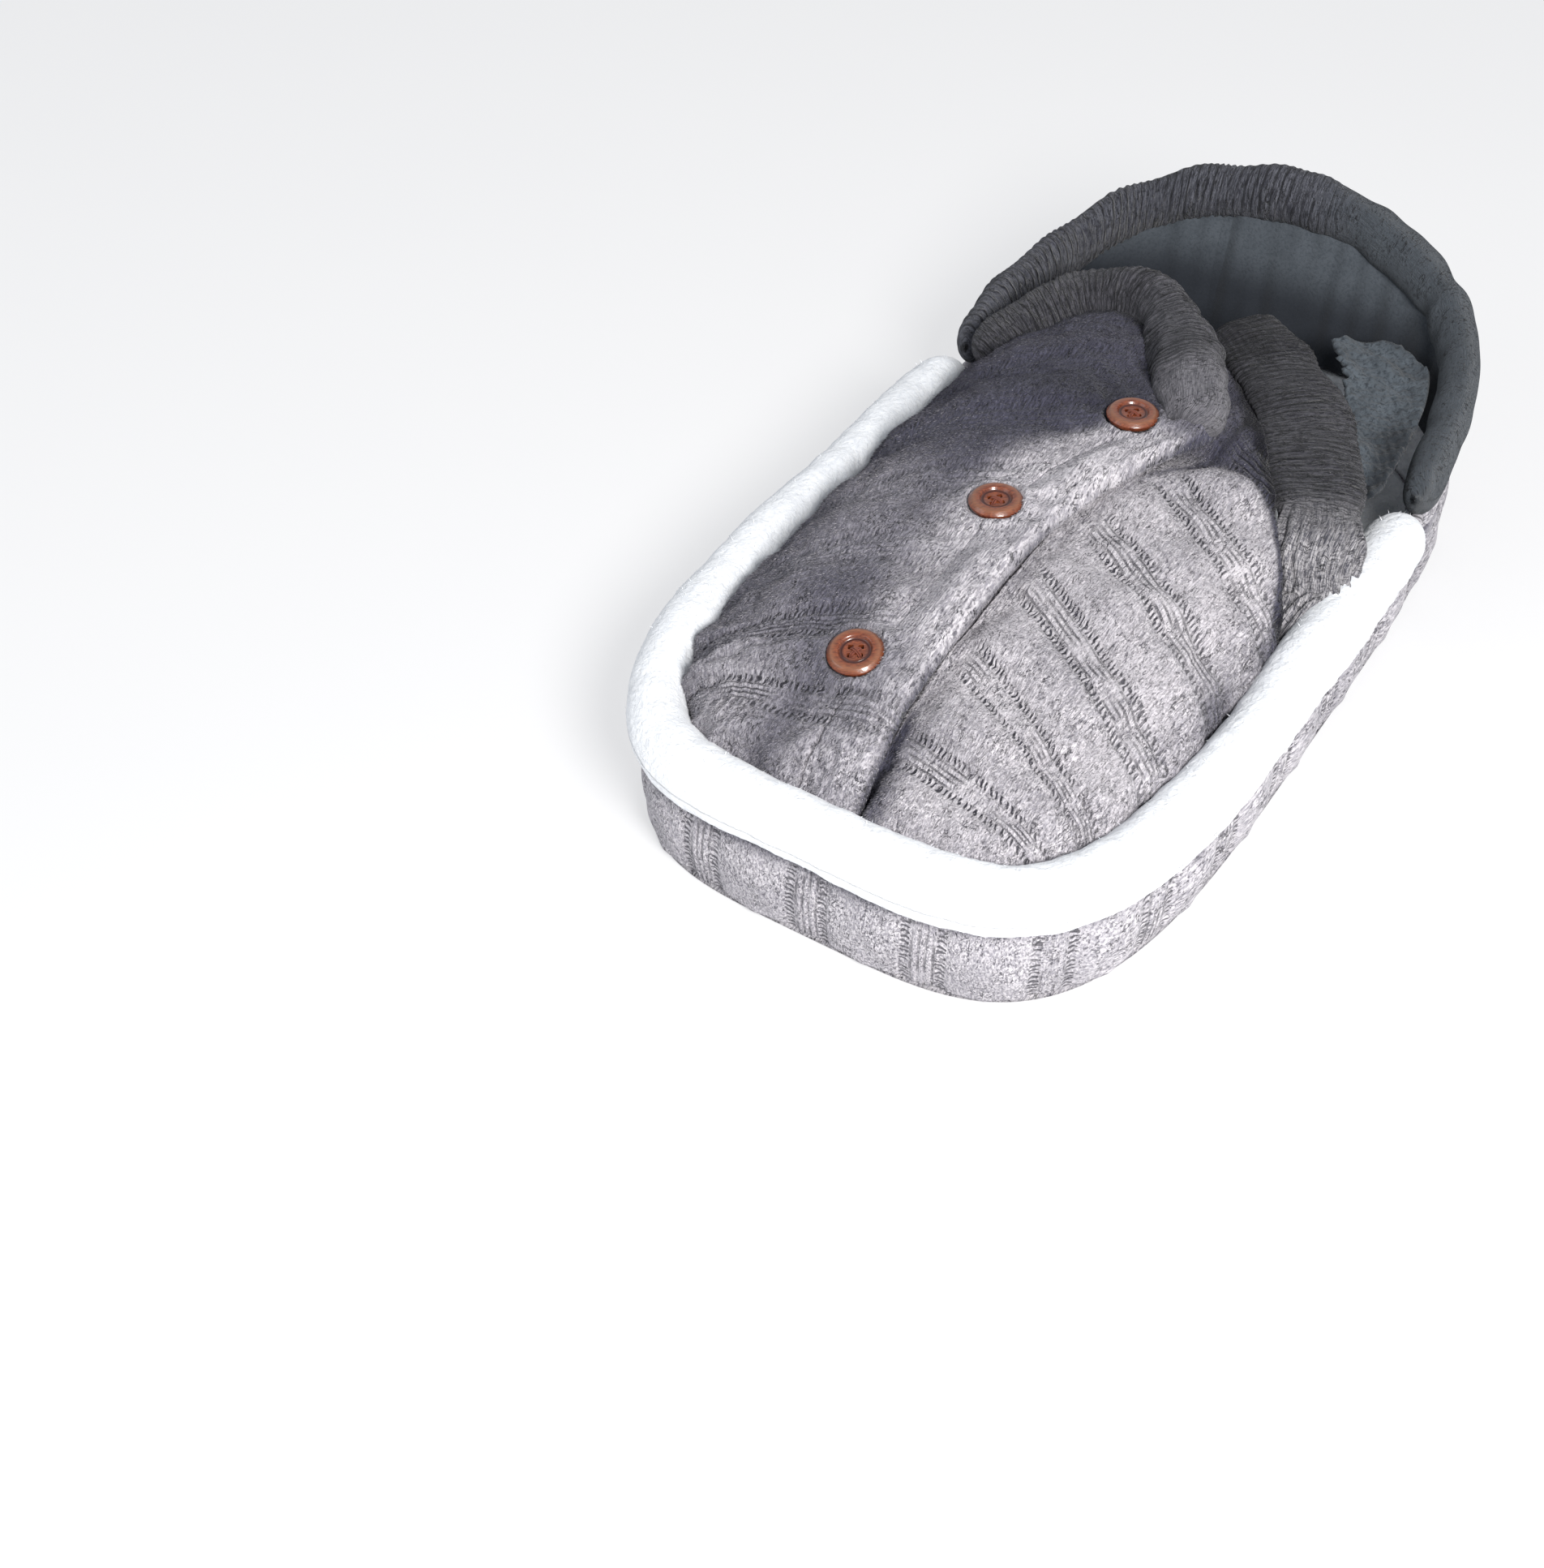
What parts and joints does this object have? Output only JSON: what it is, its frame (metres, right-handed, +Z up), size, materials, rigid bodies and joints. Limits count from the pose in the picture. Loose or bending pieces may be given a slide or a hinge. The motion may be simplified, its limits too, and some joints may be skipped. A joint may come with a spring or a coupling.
{
  "type": "stroller sleeping bag",
  "caption": "Padded knitted sleeping bag for a pram, lying filled out, with a buttoned front that folds open, a thick collar and a folding hood.",
  "frame": {"origin": "middle of the underside", "axes": "+X to the right of someone standing at the foot end, +Y towards the head, +Z up"},
  "size_m": [0.44, 0.78, 0.229],
  "materials": {
    "knit": "brushed cable knit",
    "rib": "ribbed knit",
    "band": "plain brushed knit",
    "plush": "short white pile",
    "fleece": "blue-grey fleece",
    "wadding": "white fibre filling",
    "wood": "glossy lacquer",
    "thread": "twisted sewing thread",
    "stud": "pressed sheet metal"
  },
  "bodies": {
    "shell": {"back_knit_panel": "knit", "back_plush_lining": "plush", "back_wadding": "wadding", "plush_rim_cover": "plush", "plush_rim_wadding": "wadding", "side_wall_knit": "knit", "side_wall_plush_lining": "plush", "side_wall_wadding": "wadding"},
    "left_front": {"left_collar_cover": "rib", "left_collar_wadding": "wadding", "left_front_knit": "knit", "left_front_plush_lining": "plush", "left_front_wadding": "wadding", "left_placket_band": "band", "lower_stud_socket": "stud", "middle_stud_socket": "stud", "upper_stud_socket": "stud"},
    "right_front": {"lower_stud_ball": "stud", "middle_stud_ball": "stud", "right_collar_cover": "rib", "right_collar_wadding": "wadding", "right_front_knit": "knit", "right_front_plush_lining": "plush", "right_front_wadding": "wadding", "right_placket_band": "band", "upper_stud_ball": "stud"},
    "hood": {"hood_band_cover": "rib", "hood_band_wadding": "wadding", "hood_knit": "knit", "hood_plush_lapel": "fleece", "hood_plush_lining": "fleece", "hood_wadding": "wadding"},
    "lower_button": {"lower_button": "wood", "lower_button_thread": "thread"},
    "middle_button": {"middle_button": "wood", "middle_button_thread": "thread"},
    "upper_button": {"upper_button": "wood", "upper_button_thread": "thread"}
  },
  "joints": [
    {"name": "left_front_fold", "type": "hinge", "parent": "shell", "child": "left_front", "pos_m": [-0.197, 0, 0.112], "axis": [0, -1, 0], "range_deg": [0, 140]},
    {"name": "right_front_fold", "type": "hinge", "parent": "shell", "child": "right_front", "pos_m": [0.197, 0, 0.112], "axis": [0, 1, 0], "range_deg": [0, 77]},
    {"name": "hood_fold", "type": "hinge", "parent": "shell", "child": "hood", "pos_m": [0, 0.39, 0.066], "axis": [-1, 0, 0], "range_deg": [0, 90]},
    {"name": "lower_button_twist", "type": "hinge", "parent": "left_front", "child": "lower_button", "pos_m": [-0.04003, -0.2556, 0.14433], "axis": [-0.0123, -0.2496, 0.9683], "range_deg": [-20, 20]},
    {"name": "middle_button_twist", "type": "hinge", "parent": "left_front", "child": "middle_button", "pos_m": [-0.03107, -0.08337, 0.16545], "axis": [-0.0219, -0.0291, 0.9993], "range_deg": [-20, 20]},
    {"name": "upper_button_twist", "type": "hinge", "parent": "left_front", "child": "upper_button", "pos_m": [0.003, 0.063, 0.1683], "axis": [0.0009, 0, 1], "range_deg": [-20, 20]}
  ],
  "couplings": [
    {"joint": "right_front_fold", "follows": "left_front_fold", "ratio": 0.55}
  ]
}
